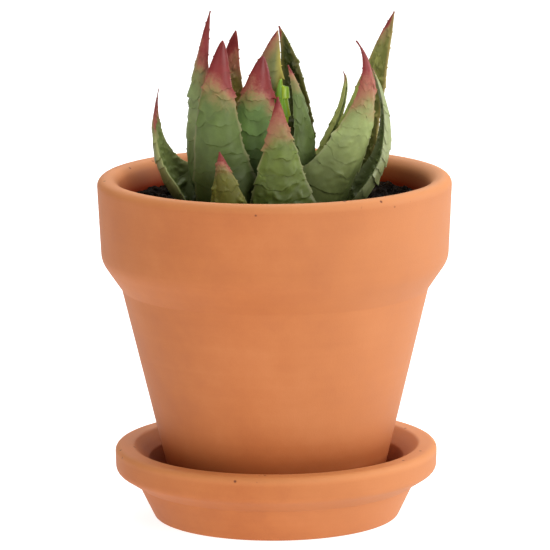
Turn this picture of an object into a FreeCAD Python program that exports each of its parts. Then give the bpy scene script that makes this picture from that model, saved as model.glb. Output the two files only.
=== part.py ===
import FreeCAD, Part
import math
import os
import random

# A four-inch clay flower pot standing in its clay saucer, filled with a foam plug and
# a bed of moss soil that hold an artificial aloe. All sizes are in millimetres.
# The origin is the middle of the saucer's underside, +Z is up and -Y is the front.

# saucer: a turned dish with a thick collar at its lip
SAUCER_BASE_RADIUS = 36.4
SAUCER_FLOOR_RADIUS = 33.4
SAUCER_FLOOR = 5.5
SAUCER_COLLAR_START = 41.2
SAUCER_COLLAR_FOOT = 9.9
SAUCER_SHOULDER_RADIUS = 47.9
SAUCER_SHOULDER = 14.2
SAUCER_COLLAR_RADIUS = 48.1
SAUCER_LIP_RADIUS = 42.6
SAUCER_THROAT_RADIUS = 38.0
SAUCER_THROAT = 17.6
SAUCER_HEIGHT = 21.6

# pot: a straight tapered body under a deep collar
POT_FLOOR_THICKNESS = 7.0
POT_BASE_RADIUS = 30.4
POT_LEDGE = 69.2
POT_LEDGE_RADIUS = 45.7
COLLAR_FOOT_RADIUS = 51.6
COLLAR_FOOT = 77.8
COLLAR_TOP_RADIUS = 52.8
POT_TOP = 102.9
LIP_INNER_RADIUS = 46.7
LIP_SLOPE = 0.6
WALL_TOP = 98.0
WALL_TOP_RADIUS = 45.6
WALL_TAPER = 0.2395
DRAIN_RADIUS = 5.5

# filling: foam plug, soil ring and loose crumbs
POT_FLOOR = SAUCER_FLOOR + POT_FLOOR_THICKNESS
WALL_GAP = 0.5
WIRE_GAP = 0.3
FOAM_TOP = 85.0
SOIL_TOP = 95.0
SOIL_DIP = 91.8
SOIL_FLAT_RADIUS = 32.0
WELL_RADIUS = 26.4
WIRE_RADIUS = 1.25
WIRE_FOOT = 27.0
WIRE_FOOT_GAP = 2.0
WIRE_TOP = 87.6
CRUMB_COUNT = 30

# crown: the moulded disc that the leaves plug into
CROWN_RADIUS = 25.8
CROWN_EDGE = 89.6
CROWN_TOP = 92.4

# leaf shell
LEAF_THICKNESS = 1.3
MARGIN_SHARE = 0.4
ROOT_SHARE = 0.42
TIP_HALF_WIDTH = 0.3
STATIONS = [0.0, 0.1, 0.2, 0.32, 0.45, 0.58, 0.71, 0.83, 0.93, 1.0]

# heart shoot: its greatest radius and four evenly spaced places along its middle
HEART_RADIUS = 2.7
HEART_TAPER = 0.22
HEART_PLACES = [(1, 0, 88), (1.2, 0, 102.5), (1.6, 0, 117), (2.4, -0.5, 131.5)]

# One entry per leaf: the bearing that its cupped side faces, the half width at its
# widest place, where along it that is, the cup's half angle and the taper, then four
# places along its keel from the root to the tip, evenly spaced.
LEAVES = {
    "leaf_far_left": (
        -20, 8.8, 0.30, 70, 1.10, (-20.8, 2, 88), (-31.2, 3, 99.5), (-35.8, 4, 112), (-34.1, 4, 128.3)),
    "leaf_tall_left": (
        50, 6.5, 0.28, 55, 0.82, (-16, -2, 88), (-22.9, -2.5, 107), (-23.1, -2, 129), (-18.6, 2, 151.6)),
    "leaf_big_front_left": (
        82, 9.4, 0.20, 48, 0.63, (-11, -11.5, 88), (-15.8, -13, 106), (-16.9, -12, 125), (-14.9, -7, 144)),
    "leaf_red_back": (
        -85, 6.9, 0.22, 52, 0.60, (-8, 14, 88), (-10.8, 17, 106), (-13, 16, 124.5), (-11.1, 10, 144.6)),
    "leaf_centre": (
        90, 9.5, 0.30, 50, 0.60, (-3.5, -5.5, 88), (-4.9, -7, 104.5), (-5, -6, 121.5), (-3.1, -2, 138.6)),
    "leaf_pale_centre": (
        75, 9.2, 0.30, 50, 0.75, (-3, 4.5, 88), (-4.3, 5, 107), (-3, 5, 126.5), (1.3, 4, 145.3)),
    "leaf_dark_back": (
        -95, 7.4, 0.22, 52, 0.76, (4, 16, 88), (6, 18, 106.5), (6, 17, 126), (1.7, 11, 145.7)),
    "leaf_right_centre": (
        120, 4.9, 0.22, 55, 0.72, (8.6, -4, 88), (10, -5, 104), (9, -4, 120), (4.3, -1, 135.7)),
    "leaf_front_centre": (
        90, 9.6, 0.20, 46, 0.85, (2.5, -18, 88), (2.2, -19, 101), (1.6, -17.5, 114), (1.2, -13, 128.1)),
    "leaf_front_left_small": (
        80, 6.3, 0.22, 52, 0.80, (-12.3, -19, 88), (-13.7, -21, 96), (-14.8, -21.5, 104.5), (-16, -20, 113)),
    "leaf_right_big": (
        118, 9.2, 0.22, 52, 1.05, (11, -9, 88), (19.3, -12, 105.5), (27.2, -11, 124.5), (24.9, -7, 143.5)),
    "leaf_thin_back_right": (
        -16, 5.7, 0.25, 60, 0.72, (6.5, 6, 88), (10.4, 6.2, 103.5), (17.6, 6, 119), (20.9, 4.5, 133)),
    "leaf_far_right_tall": (
        -125, 8.8, 0.22, 50, 0.76, (16, 9, 88), (24.6, 13.2, 107), (30.4, 13.4, 127.5), (36, 11, 149.8)),
    "leaf_right_outer": (
        -171, 7.4, 0.25, 64, 0.78, (17, -3, 88), (30.3, -2.5, 101), (34.6, -2, 116.5), (29.2, 0, 134.5)),
    "leaf_yellow_green": (
        75, 4.2, 0.22, 50, 0.55, (12.2, 2, 88), (16.1, 1.4, 102), (21, 0.2, 115.5), (24.8, -1.5, 129.5)),
    "leaf_back_right": (
        -110, 6.0, 0.22, 50, 0.85, (12, 16, 88), (16.5, 22, 98), (19.5, 25.5, 107.5), (20, 27, 117)),
    "leaf_back_left": (
        -62, 6.5, 0.22, 50, 0.85, (-8, 18, 88), (-13, 24, 98), (-16, 27, 110), (-16.5, 28, 122)),
}


def vector(r, z):
    return FreeCAD.Vector(r, 0, z)


def rounded_outline(corners):
    """Closed face in the XZ plane through (radius, height, fillet) corners."""
    count = len(corners)
    starts, mids, ends = [], [], []
    for i, (r, z, fillet) in enumerate(corners):
        here = vector(r, z)
        before = vector(*corners[i - 1][:2])
        after = vector(*corners[(i + 1) % count][:2])
        to_before = (before - here).normalize()
        to_after = (after - here).normalize()
        half = to_before.getAngle(to_after) / 2
        reach = fillet / math.tan(half)
        centre = here + (to_before + to_after).normalize() * (fillet / math.sin(half))
        starts.append(here + to_before * reach)
        ends.append(here + to_after * reach)
        mids.append(centre + (here - centre).normalize() * fillet if fillet else here)
    edges = []
    for i in range(count):
        if corners[i][2]:
            edges.append(Part.Arc(starts[i], mids[i], ends[i]).toShape())
        edges.append(Part.LineSegment(ends[i], starts[(i + 1) % count]).toShape())
    return Part.Face(Part.Wire(edges))


def turned(corners):
    """Solid of revolution about the Z axis."""
    return rounded_outline(corners).revolve(vector(0, 0), FreeCAD.Vector(0, 0, 1), 360)


def wall_radius(z):
    """Radius of the pot's tapered inner wall at a height."""
    return WALL_TOP_RADIUS - WALL_TAPER * (WALL_TOP - z)


def saucer():
    return turned([
        (0, 0, 0),
        (SAUCER_BASE_RADIUS, 0, 1.0),
        (SAUCER_COLLAR_START, SAUCER_COLLAR_FOOT, 1.0),
        (SAUCER_SHOULDER_RADIUS, SAUCER_SHOULDER, 2.6),
        (SAUCER_COLLAR_RADIUS, SAUCER_HEIGHT, 1.8),
        (SAUCER_LIP_RADIUS, SAUCER_HEIGHT, 1.6),
        (SAUCER_THROAT_RADIUS, SAUCER_THROAT, 1.6),
        (SAUCER_FLOOR_RADIUS, SAUCER_FLOOR, 2.0),
        (0, SAUCER_FLOOR, 0),
    ])


def pot():
    return turned([
        (DRAIN_RADIUS, SAUCER_FLOOR, 0.6),
        (POT_BASE_RADIUS, SAUCER_FLOOR, 1.2),
        (POT_LEDGE_RADIUS, POT_LEDGE, 1.4),
        (COLLAR_FOOT_RADIUS, COLLAR_FOOT, 7.5),
        (COLLAR_TOP_RADIUS, POT_TOP, 2.6),
        (LIP_INNER_RADIUS, POT_TOP - LIP_SLOPE, 4.0),
        (wall_radius(POT_FLOOR), POT_FLOOR, 3.0),
        (DRAIN_RADIUS, POT_FLOOR, 1.0),
    ])


def foam_plug():
    """Tapered foam plug with a blind bore for the stem wire."""
    bore = WIRE_RADIUS + WIRE_GAP
    return turned([
        (0, POT_FLOOR, 0),
        (wall_radius(POT_FLOOR) - WALL_GAP, POT_FLOOR, 4.0),
        (wall_radius(FOAM_TOP) - WALL_GAP, FOAM_TOP, 0),
        (bore, FOAM_TOP, 0),
        (bore, WIRE_FOOT - WIRE_FOOT_GAP, 0),
        (0, WIRE_FOOT - WIRE_FOOT_GAP, 0),
    ])


def soil_bed():
    """Ring of moss soil that dips towards the crown in its middle."""
    return turned([
        (WELL_RADIUS, FOAM_TOP, 0),
        (wall_radius(FOAM_TOP) - WALL_GAP, FOAM_TOP, 0),
        (wall_radius(SOIL_TOP) - WALL_GAP, SOIL_TOP, 0),
        (SOIL_FLAT_RADIUS, SOIL_TOP, 0),
        (WELL_RADIUS, SOIL_DIP, 0),
    ])


def soil_crumbs():
    """Faceted lumps lying on the flat of the soil ring."""
    rng = random.Random(11)
    lumps = []
    for i in range(CRUMB_COUNT):
        bearing = 2 * math.pi * i / CRUMB_COUNT
        size = rng.uniform(1.2, 2.1)
        height = rng.uniform(1.0, 2.0)
        ring = rng.uniform(34.6, 41.6)
        x, y = ring * math.cos(bearing), ring * math.sin(bearing)
        sides = rng.choice([5, 6, 7])
        turn = rng.uniform(0, 2)
        layers = []
        for z, share in [(SOIL_TOP, 1.0), (SOIL_TOP + height, 0.55)]:
            points = []
            for k in range(sides):
                angle = turn + 2 * math.pi * k / sides
                points.append(FreeCAD.Vector(
                    x + size * share * math.cos(angle), y + size * share * math.sin(angle), z))
            layers.append(Part.makePolygon(points + points[:1]))
        lumps.append(Part.makeLoft(layers, True, True))
    return Part.makeCompound(lumps)


def stem_wire():
    return Part.makeCylinder(WIRE_RADIUS, WIRE_TOP - WIRE_FOOT, vector(0, WIRE_FOOT))


def crown():
    """Domed disc with a blind hole underneath for the wire."""
    return turned([
        (0, WIRE_TOP, 0),
        (WIRE_RADIUS, WIRE_TOP, 0),
        (WIRE_RADIUS, FOAM_TOP, 0),
        (CROWN_RADIUS, FOAM_TOP, 0.5),
        (CROWN_RADIUS, CROWN_EDGE, 1.5),
        (CROWN_RADIUS / 2, CROWN_TOP, 12.0),
        (0, CROWN_TOP, 0),
    ])


def keel(places, s):
    """Place and direction on the cubic through four evenly spaced places."""
    knots = [0, 1 / 3, 2 / 3, 1]
    place = FreeCAD.Vector()
    slope = FreeCAD.Vector()
    for i in range(4):
        others = [knots[k] for k in range(4) if k != i]
        scale = 1.0
        for knot in others:
            scale *= knots[i] - knot
        a, b, c = (s - knot for knot in others)
        point = FreeCAD.Vector(*places[i])
        place += point * (a * b * c / scale)
        slope += point * ((a * b + a * c + b * c) / scale)
    return place, slope.normalize()


def half_width(widest, at, taper, s):
    """Half width along a leaf: it swells from its root and then tapers to its tip."""
    if s < at:
        return widest * (ROOT_SHARE + (1 - ROOT_SHARE) * math.sin(math.pi / 2 * s / at))
    return widest * max((1 - s) / (1 - at), 0.0) ** taper


def leaf_section(place, along, faces, half, cup):
    """Closed crescent across a leaf: outer arc, thin margins and inner arc."""
    facing = FreeCAD.Vector(math.cos(faces), math.sin(faces), 0)
    inward = (facing - along * facing.dot(along)).normalize()
    across = along.cross(inward)
    radius = half / math.sin(cup)
    thick = min(LEAF_THICKNESS, 0.55 * half)

    def at(t, depth):
        turn = cup * t
        reach = radius - depth
        return place + inward * (radius - reach * math.cos(turn)) + across * (reach * math.sin(turn))

    thin = thick * MARGIN_SHARE
    outer = Part.Arc(at(-1, 0), at(0, 0), at(1, 0)).toShape()
    inner = Part.Arc(at(1, thin), at(0, thick), at(-1, thin)).toShape()
    right = Part.LineSegment(at(1, 0), at(1, thin)).toShape()
    left = Part.LineSegment(at(-1, thin), at(-1, 0)).toShape()
    return Part.Wire([outer, right, inner, left])


def leaf(faces, widest, at, cup, taper, *places):
    """Hollow-faced leaf lofted along its keel."""
    sections = []
    for s in STATIONS:
        place, along = keel(places, s)
        half = max(half_width(widest, at, taper, s), TIP_HALF_WIDTH)
        sections.append(leaf_section(place, along, math.radians(faces), half, math.radians(cup)))
    return Part.makeLoft(sections, True, False)


def heart_shoot():
    """Closed bud in the middle: a tapered spindle that leans a little."""
    rings = []
    for s in STATIONS:
        place, along = keel(HEART_PLACES, s)
        swell = math.sin(math.pi * min(0.5, 0.25 + s)) * (1 - s) ** HEART_TAPER
        radius = TIP_HALF_WIDTH + HEART_RADIUS * swell
        rings.append(Part.Wire(Part.makeCircle(radius, place, along)))
    return Part.makeLoft(rings, True, False)


def main():
    os.makedirs("parts", exist_ok=True)
    shapes = {
        "saucer": saucer(),
        "pot": pot(),
        "foam_plug": foam_plug(),
        "soil_bed": soil_bed(),
        "soil_crumbs": soil_crumbs(),
        "stem_wire": stem_wire(),
        "crown": crown(),
        "heart_shoot": heart_shoot(),
    }
    for name, spec in LEAVES.items():
        shapes[name] = leaf(*spec)
    for name, shape in shapes.items():
        shape.exportStep("parts/" + name + ".step")
        print(name, shape.isValid(), round(shape.Volume, 1))


main()
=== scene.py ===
import bpy
import numpy as np
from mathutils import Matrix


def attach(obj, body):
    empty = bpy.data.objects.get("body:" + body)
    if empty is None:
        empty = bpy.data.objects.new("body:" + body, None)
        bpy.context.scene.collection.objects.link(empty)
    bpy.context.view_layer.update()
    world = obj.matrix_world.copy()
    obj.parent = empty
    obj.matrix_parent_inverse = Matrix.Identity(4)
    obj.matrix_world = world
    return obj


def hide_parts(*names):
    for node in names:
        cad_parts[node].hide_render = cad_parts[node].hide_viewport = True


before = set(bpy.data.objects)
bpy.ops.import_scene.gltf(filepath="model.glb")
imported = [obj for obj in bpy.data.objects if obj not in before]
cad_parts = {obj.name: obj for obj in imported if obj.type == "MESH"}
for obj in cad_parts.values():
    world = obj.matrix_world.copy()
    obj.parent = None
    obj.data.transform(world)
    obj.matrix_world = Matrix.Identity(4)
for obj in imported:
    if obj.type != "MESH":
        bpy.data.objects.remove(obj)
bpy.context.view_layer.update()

# ---------------------------------------------------------------------------------------
# Saucer: a dish of red earthenware, pressed and turned in a mould with a thick collar at
# its lip, then fired without glaze. The pot stands loose on its floor.

MM = 0.001


def rounded_profile(corners, step):
    """Closed outline through (radius, height, fillet) corners, in millimetres.

    Each corner is cut back to where its two sides touch a circle of the fillet radius:
    fillet / tan(half the corner's angle). The arc between the two touching points is
    sampled by angle and the straight runs by length, at most about step apart."""
    places = np.array([corner[:2] for corner in corners], float)
    fillets = np.array([corner[2] for corner in corners], float)
    back = np.roll(places, 1, axis=0) - places
    ahead = np.roll(places, -1, axis=0) - places
    back /= np.linalg.norm(back, axis=1, keepdims=True)
    ahead /= np.linalg.norm(ahead, axis=1, keepdims=True)
    half = np.arccos(np.clip((back * ahead).sum(1), -1, 1)) / 2
    reach = (fillets / np.tan(half))[:, None]
    enter, leave = places + back * reach, places + ahead * reach
    runs = []
    for k in range(len(corners)):
        if fillets[k] > 0:
            middle = back[k] + ahead[k]
            middle /= np.linalg.norm(middle)
            centre = places[k] + middle * fillets[k] / np.sin(half[k])
            first, last = enter[k] - centre, leave[k] - centre
            turn = np.arctan2(first[0] * last[1] - first[1] * last[0], first @ last)
            count = max(5, int(abs(turn) * fillets[k] / step) + 2)
            angles = np.linspace(0, turn, count)[:, None]
            side = np.array([-first[1], first[0]])
            runs.append(centre + np.cos(angles) * first + np.sin(angles) * side)
        else:
            runs.append(places[k][None])
        following = (k + 1) % len(corners)
        gap = np.linalg.norm(enter[following] - leave[k])
        shares = np.linspace(0, 1, max(2, int(gap / step) + 1), endpoint=False)[1:, None]
        runs.append(leave[k] + shares * (enter[following] - leave[k]))
    return np.concatenate(runs)


def soft_noise(x, y, seed, wrap=64):
    """Smooth random heights from -1 to 1: a lattice of seeded random numbers, one per
    whole step of x and y, blended by the smoothstep curve 3t^2 - 2t^3 between them."""
    lattice = np.random.default_rng(seed).uniform(-1, 1, (wrap, wrap))
    x0, y0 = np.floor(x).astype(int), np.floor(y).astype(int)
    u, v = x - x0, y - y0
    u, v = u * u * (3 - 2 * u), v * v * (3 - 2 * v)
    low = lattice[x0 % wrap, y0 % wrap] * (1 - u) + lattice[(x0 + 1) % wrap, y0 % wrap] * u
    x1, y1 = x0 + 1, y0 + 1
    high = lattice[x0 % wrap, y1 % wrap] * (1 - u) + lattice[x1 % wrap, y1 % wrap] * u
    return low * (1 - v) + high * v


def turn_on_axis(profile, around, ripple, seed):
    """Surface of revolution: each profile point (r, z) goes round the Z axis. The radius
    gains a ripple that depends mostly on height, like the rings a turning rib leaves, and
    a slow out-of-round of two and three waves to the turn."""
    angle = np.linspace(0, 2 * np.pi, around, endpoint=False)[None, :]
    r, z = profile[:, 0][:, None], profile[:, 1][:, None]
    ring_spacing, waves = 1.7, 8
    turns = angle / (2 * np.pi) * waves
    rings = soft_noise(z / ring_spacing + 0 * angle, turns + 0 * z, seed, waves * 8)
    slow = 0.0012 * np.cos(2 * angle + seed) + 0.0007 * np.cos(3 * angle + 2 * seed)
    fade = np.clip(r / 6, 0, 1)
    radius = r * (1 + slow) + ripple * rings * fade
    grid = np.empty((len(profile), around, 3))
    grid[..., 0] = radius * np.cos(angle)
    grid[..., 1] = radius * np.sin(angle)
    grid[..., 2] = z + 0 * angle
    return grid


def skin(name, grid, ring_of_rings=False, marks=None):
    """Closed mesh over a grid of rings of points, in millimetres. Neighbouring rings are
    joined by quads. The first and last ring are joined too when the rings go right round,
    and otherwise each gets a middle point and a fan. Faces are turned over if the volume
    by the divergence theorem comes out negative. marks are numbers kept on each point."""
    rings, points = grid.shape[:2]
    index = np.arange(rings * points).reshape(rings, points)
    following = np.roll(index, -1, axis=0) if ring_of_rings else index[1:]
    here = index if ring_of_rings else index[:-1]
    quads = np.stack([here, np.roll(here, -1, 1), np.roll(following, -1, 1), following], -1)
    quads = quads.reshape(-1, 4)
    places = grid.reshape(-1, 3)
    fans = np.empty((0, 3), int)
    if not ring_of_rings:
        places = np.concatenate([places, grid[0].mean(0)[None], grid[-1].mean(0)[None]])
        first, last = index[0], index[-1]
        low = np.stack([np.roll(first, -1), first, np.full(points, rings * points)], -1)
        high = np.stack([last, np.roll(last, -1), np.full(points, rings * points + 1)], -1)
        fans = np.concatenate([low, high])
    corners = places[quads]
    crossed = np.cross(corners[:, 2] - corners[:, 0], corners[:, 3] - corners[:, 1])
    if (crossed * corners.mean(1)).sum() < 0:
        quads, fans = quads[:, ::-1], fans[:, ::-1]
    mesh = bpy.data.meshes.new(name)
    mesh.vertices.add(len(places))
    mesh.vertices.foreach_set("co", (places * MM).astype(np.float32).ravel())
    loops = np.concatenate([quads.ravel(), fans.ravel()])
    starts = np.concatenate([np.arange(len(quads)) * 4, len(quads) * 4 + np.arange(len(fans)) * 3])
    mesh.loops.add(len(loops))
    mesh.loops.foreach_set("vertex_index", loops)
    mesh.polygons.add(len(starts))
    mesh.polygons.foreach_set("loop_start", starts)
    mesh.polygons.foreach_set("use_smooth", np.ones(len(starts), bool))
    for mark, values in (marks or {}).items():
        spread = values.ravel()
        if not ring_of_rings:
            spread = np.concatenate([spread, [values[0].mean(), values[-1].mean()]])
        layer = mesh.attributes.new(mark, "FLOAT", "POINT")
        layer.data.foreach_set("value", spread.astype(np.float32))
    mesh.update(calc_edges=True)
    piece = bpy.data.objects.new(name, mesh)
    bpy.context.collection.objects.link(piece)
    return piece


def linear(code):
    """Linear RGBA of an sRGB hex colour: c / 12.92 below 0.04045, and otherwise
    ((c + 0.055) / 1.055) to the power 2.4."""
    parts = [int(code[k:k + 2], 16) / 255 for k in (1, 3, 5)]
    return [c / 12.92 if c <= 0.04045 else ((c + 0.055) / 1.055) ** 2.4 for c in parts] + [1.0]


def add(tree, kind, inputs=None, stops=None, **settings):
    """Adds a node with its settings, its colour stops, and its input values or links."""
    made = tree.nodes.new(kind)
    for key, value in settings.items():
        setattr(made, key, value)
    for k, (place, colour) in enumerate(stops or []):
        ramp = made.color_ramp.elements
        stop = ramp[k] if k < 2 else ramp.new(place)
        stop.position = place
        stop.color = linear(colour)
    for key, value in (inputs or {}).items():
        if isinstance(value, bpy.types.NodeSocket):
            tree.links.new(value, made.inputs[key])
        else:
            made.inputs[key].default_value = value
    return made


def new_material(name):
    """Empty node material and its tree."""
    material = bpy.data.materials.new(name)
    material.use_nodes = True
    material.node_tree.nodes.clear()
    return material, material.node_tree


def fired_earthenware(name, pale, middle, deep, painted_shade_colour, pit_from):
    """Unglazed red earthenware: matt, slightly mottled by the fire, with faint rings from
    turning, a sandy grain of about 0.4 mm and, above the height pit_from in metres, dark
    pits of about 0.5 mm, whose dark colour is painted shade in the dents, and a paler lip,
    which is a painted highlight. The +x side is painted paler, a painted highlight where
    the lights fall. As painted shade, it is darker, redder and without sheen where a
    point's mark of painted shade is 1."""
    material, tree = new_material(name)
    place = add(tree, "ShaderNodeTexCoord").outputs["Object"]
    cloud = add(tree, "ShaderNodeTexNoise", {"Vector": place, "Scale": 1 / 0.028, "Detail": 3.0})
    flat = add(tree, "ShaderNodeMapping", {"Vector": place, "Scale": (9, 9, 1 / 0.0016)})
    rings = add(tree, "ShaderNodeTexNoise", {"Vector": flat.outputs[0], "Scale": 1.0, "Detail": 3.0})
    grain = add(tree, "ShaderNodeTexNoise", {"Vector": place, "Scale": 1 / 0.0004, "Detail": 2.0})
    blotch = add(tree, "ShaderNodeTexNoise", {
        "Vector": place, "Scale": 1 / 0.006, "Detail": 5.0, "Roughness": 0.65})
    mixed = add(tree, "ShaderNodeMath", {0: cloud.outputs[0], 1: 0.5}, operation="MULTIPLY")
    for layer, share in ((rings, 0.08), (blotch, 0.26), (grain, 0.08)):
        mixed = add(tree, "ShaderNodeMath", {
            0: layer.outputs[0], 1: share, 2: mixed.outputs[0]}, operation="MULTIPLY_ADD")
    fired = add(tree, "ShaderNodeValToRGB", {0: mixed.outputs[0]}, [
        (0.30, deep), (0.64, pale), (0.47, middle)])

    # The pits are real dents and go into the bump below; their dark colour is painted shade in the dents.
    cells = add(tree, "ShaderNodeTexVoronoi", {"Vector": place, "Scale": 1 / 0.0042})
    pit = add(tree, "ShaderNodeMapRange", {
        0: cells.outputs["Distance"], 1: 0.06, 2: 0.13, 3: 1.0, 4: 0.0})
    where = add(tree, "ShaderNodeTexNoise", {"Vector": place, "Scale": 1 / 0.011, "Detail": 1.0})
    rare = add(tree, "ShaderNodeMapRange", {0: where.outputs[0], 1: 0.44, 2: 0.50})
    spot = add(tree, "ShaderNodeSeparateXYZ", {0: place})
    high = add(tree, "ShaderNodeMath", {0: spot.outputs[2], 1: pit_from}, operation="GREATER_THAN")
    pits = add(tree, "ShaderNodeMath", {0: pit.outputs[0], 1: rare.outputs[0]}, operation="MULTIPLY")
    pits = add(tree, "ShaderNodeMath", {0: pits.outputs[0], 1: high.outputs[0]}, operation="MULTIPLY")

    # Painted shade: this mark darkens and reddens the clay and takes its sheen away where the pot's rim, the
    # plant and the saucer shade it.
    painted_shade = add(tree, "ShaderNodeAttribute", attribute_name="painted_shade").outputs["Fac"]
    # Painted highlight: the +x side, where the lights on the right fall, is painted paler, but not where the
    # painted shade lies.
    painted_side_highlight = add(tree, "ShaderNodeMapRange", {0: spot.outputs[0], 1: -0.01, 2: 0.055, 3: 0.0, 4: 0.55})
    painted_side_highlight = add(tree, "ShaderNodeMath", {
        0: painted_side_highlight.outputs[0], 1: painted_shade}, operation="SUBTRACT", use_clamp=True)
    # Painted highlight: the lip above pit_from is painted paler, where the top light falls on it.
    painted_lip_highlight = add(tree, "ShaderNodeMapRange", {
        0: spot.outputs[2], 1: pit_from + 0.0004, 2: pit_from + 0.0028, 3: 0.0, 4: 0.45})
    colour = fired.outputs[0]
    for share, laid_on in (
            (painted_shade, painted_shade_colour), (painted_side_highlight.outputs[0], "#BC7E50"),
            (painted_lip_highlight.outputs[0], "#D8935A"), (pits.outputs[0], "#6A3418")):
        colour = add(tree, "ShaderNodeMix", {
            0: share, 6: colour, 7: linear(laid_on)}, data_type="RGBA").outputs[2]

    height = add(tree, "ShaderNodeMath", {
        0: rings.outputs[0], 1: 0.25, 2: grain.outputs[0]}, operation="MULTIPLY_ADD")
    height = add(tree, "ShaderNodeMath", {
        0: pits.outputs[0], 1: -2.5, 2: height.outputs[0]}, operation="MULTIPLY_ADD")
    bump = add(tree, "ShaderNodeBump", {"Height": height.outputs[0], "Strength": 0.35, "Distance": 0.00010})
    rough = add(tree, "ShaderNodeMapRange", {0: blotch.outputs[0], 3: 0.56, 4: 0.76})
    sheen = add(tree, "ShaderNodeMapRange", {0: painted_shade, 3: 0.5, 4: 0.05})
    shader = add(tree, "ShaderNodeBsdfPrincipled", {
        "Base Color": colour, "Roughness": rough.outputs[0], "Normal": bump.outputs[0],
        "IOR": 1.45, "Specular IOR Level": sheen.outputs[0]})
    add(tree, "ShaderNodeOutputMaterial", {0: shader.outputs[0]})
    return material


SAUCER_FLOOR, SAUCER_HEIGHT, SAUCER_SHOULDER = 5.5, 21.6, 14.2
SAUCER_BASE_RADIUS, SAUCER_COLLAR_RADIUS, SAUCER_LIP_RADIUS = 36.4, 48.1, 42.6

# A turned outline stops this far short of the axis, where a small fan closes it.
AXIS_GAP = 0.6

saucer_profile = rounded_profile([
    (AXIS_GAP, 0, 0),
    (SAUCER_BASE_RADIUS, 0, 1.0),
    (41.2, 9.9, 1.0),
    (SAUCER_COLLAR_RADIUS - 0.2, SAUCER_SHOULDER, 2.6),
    (SAUCER_COLLAR_RADIUS, SAUCER_HEIGHT, 1.8),
    (SAUCER_LIP_RADIUS, SAUCER_HEIGHT, 1.6),
    (38.0, SAUCER_HEIGHT - 4.0, 1.6),
    (SAUCER_BASE_RADIUS - 3.0, SAUCER_FLOOR, 2.0),
    (AXIS_GAP, SAUCER_FLOOR, 0),
], step=0.6)
off_axis = saucer_profile[:-1][saucer_profile[:-1, 0] > AXIS_GAP + 0.01]
saucer_profile = np.concatenate([[[AXIS_GAP, 0]], off_axis, [[AXIS_GAP, SAUCER_FLOOR]]])
saucer_grid = turn_on_axis(saucer_profile, around=400, ripple=0.012, seed=5)
# Painted shade: the saucer's dish is painted darker and redder below 19.5 mm, where the pot and the rim
# shade it.
dish = np.arange(len(saucer_profile))[:, None] > saucer_profile[:, 1].argmax()
saucer_painted_shade = 0.85 * dish * np.clip((19.5 - saucer_grid[..., 2]) / 9, 0, 1)
saucer = skin("saucer_dish", saucer_grid, marks={"painted_shade": saucer_painted_shade})
saucer.data.materials.append(fired_earthenware(
    "fired_earthenware_saucer", pale="#C07440", middle="#B86A34", deep="#AC5E2A",
    painted_shade_colour="#8E2C04", pit_from=(SAUCER_HEIGHT - 3.1) * MM))
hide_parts("saucer")
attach(saucer, "saucer")

# ---------------------------------------------------------------------------------------
# Pot: the same red earthenware, turned in a mould with a deep collar over a plain tapered
# body, a rolled lip and one drain hole in the floor. Fired without glaze.

POT_FLOOR, POT_TOP = 12.5, 102.9
DRAIN_RADIUS, POT_BASE_RADIUS, POT_LEDGE_RADIUS, POT_LEDGE = 5.5, 30.4, 45.7, 69.2
COLLAR_FOOT_RADIUS, COLLAR_FOOT, COLLAR_TOP_RADIUS, LIP_INNER_RADIUS = 51.6, 77.8, 52.8, 46.7


def wall_radius(z):
    """Radius of the pot's inner wall at a height: 45.6 mm at 98 mm, less 0.2395 mm for
    each millimetre further down."""
    return 45.6 - 0.2395 * (98 - z)


pot_profile = rounded_profile([
    (DRAIN_RADIUS, SAUCER_FLOOR, 0.6),
    (POT_BASE_RADIUS, SAUCER_FLOOR, 1.2),
    (POT_LEDGE_RADIUS, POT_LEDGE, 1.4),
    (COLLAR_FOOT_RADIUS, COLLAR_FOOT, 7.5),
    (COLLAR_TOP_RADIUS, POT_TOP, 2.6),
    (LIP_INNER_RADIUS, POT_TOP - 0.6, 4.0),
    (wall_radius(POT_FLOOR), POT_FLOOR, 3.0),
    (DRAIN_RADIUS, POT_FLOOR, 1.0),
], step=0.85)
pot_grid = turn_on_axis(pot_profile, around=320, ripple=0.012, seed=3)
inner_wall = (np.arange(len(pot_profile)) > pot_profile[:, 1].argmax())[:, None]
# Painted shade: the inner wall is painted darker towards the soil, and the outer foot towards the saucer,
# where they lie in shade.
painted_shade_inside = np.clip((101 - pot_grid[..., 2]) / 5.5, 0, 1)
painted_shade_foot = 0.75 * np.clip((34 - pot_grid[..., 2]) / 22, 0, 1) ** 1.5
pot_painted_shade = np.where(inner_wall, painted_shade_inside, painted_shade_foot)
pot = skin("pot_shell", pot_grid, ring_of_rings=True, marks={"painted_shade": pot_painted_shade})
pot.data.materials.append(fired_earthenware(
    "fired_earthenware_pot", pale="#BC7240", middle="#B46834", deep="#AA5E2C",
    painted_shade_colour="#782404", pit_from=(POT_TOP - 3.4) * MM))
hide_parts("pot")
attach(pot, "pot")

# ---------------------------------------------------------------------------------------
# Foam plug: dry floral foam, cut to a cone and pushed down into the pot. Its open cells
# are cut through all over, and the stem wire has its own hole.

FOAM_TOP, FOAM_GAP = 85, 0.6
WIRE_RADIUS, WIRE_FOOT, WIRE_TOP = 1.25, 27.0, 87.6
WIRE_HOLE, WIRE_HOLE_FOOT = WIRE_RADIUS + 0.3, WIRE_FOOT - 2

foam_profile = rounded_profile([
    (0.5, POT_FLOOR, 0),
    (wall_radius(POT_FLOOR) - FOAM_GAP, POT_FLOOR, 4.0),
    (wall_radius(FOAM_TOP) - FOAM_GAP, FOAM_TOP, 0.4),
    (WIRE_HOLE, FOAM_TOP, 0.3),
    (WIRE_HOLE, WIRE_HOLE_FOOT, 0.3),
    (0.5, WIRE_HOLE_FOOT, 0),
], step=1.0)
foam_profile = foam_profile[:-1][np.cumsum(foam_profile[:-1, 0] <= 0.5) <= 2]
foam = skin("foam_plug_cut", turn_on_axis(foam_profile, around=160, ripple=0.12, seed=9))
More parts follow.
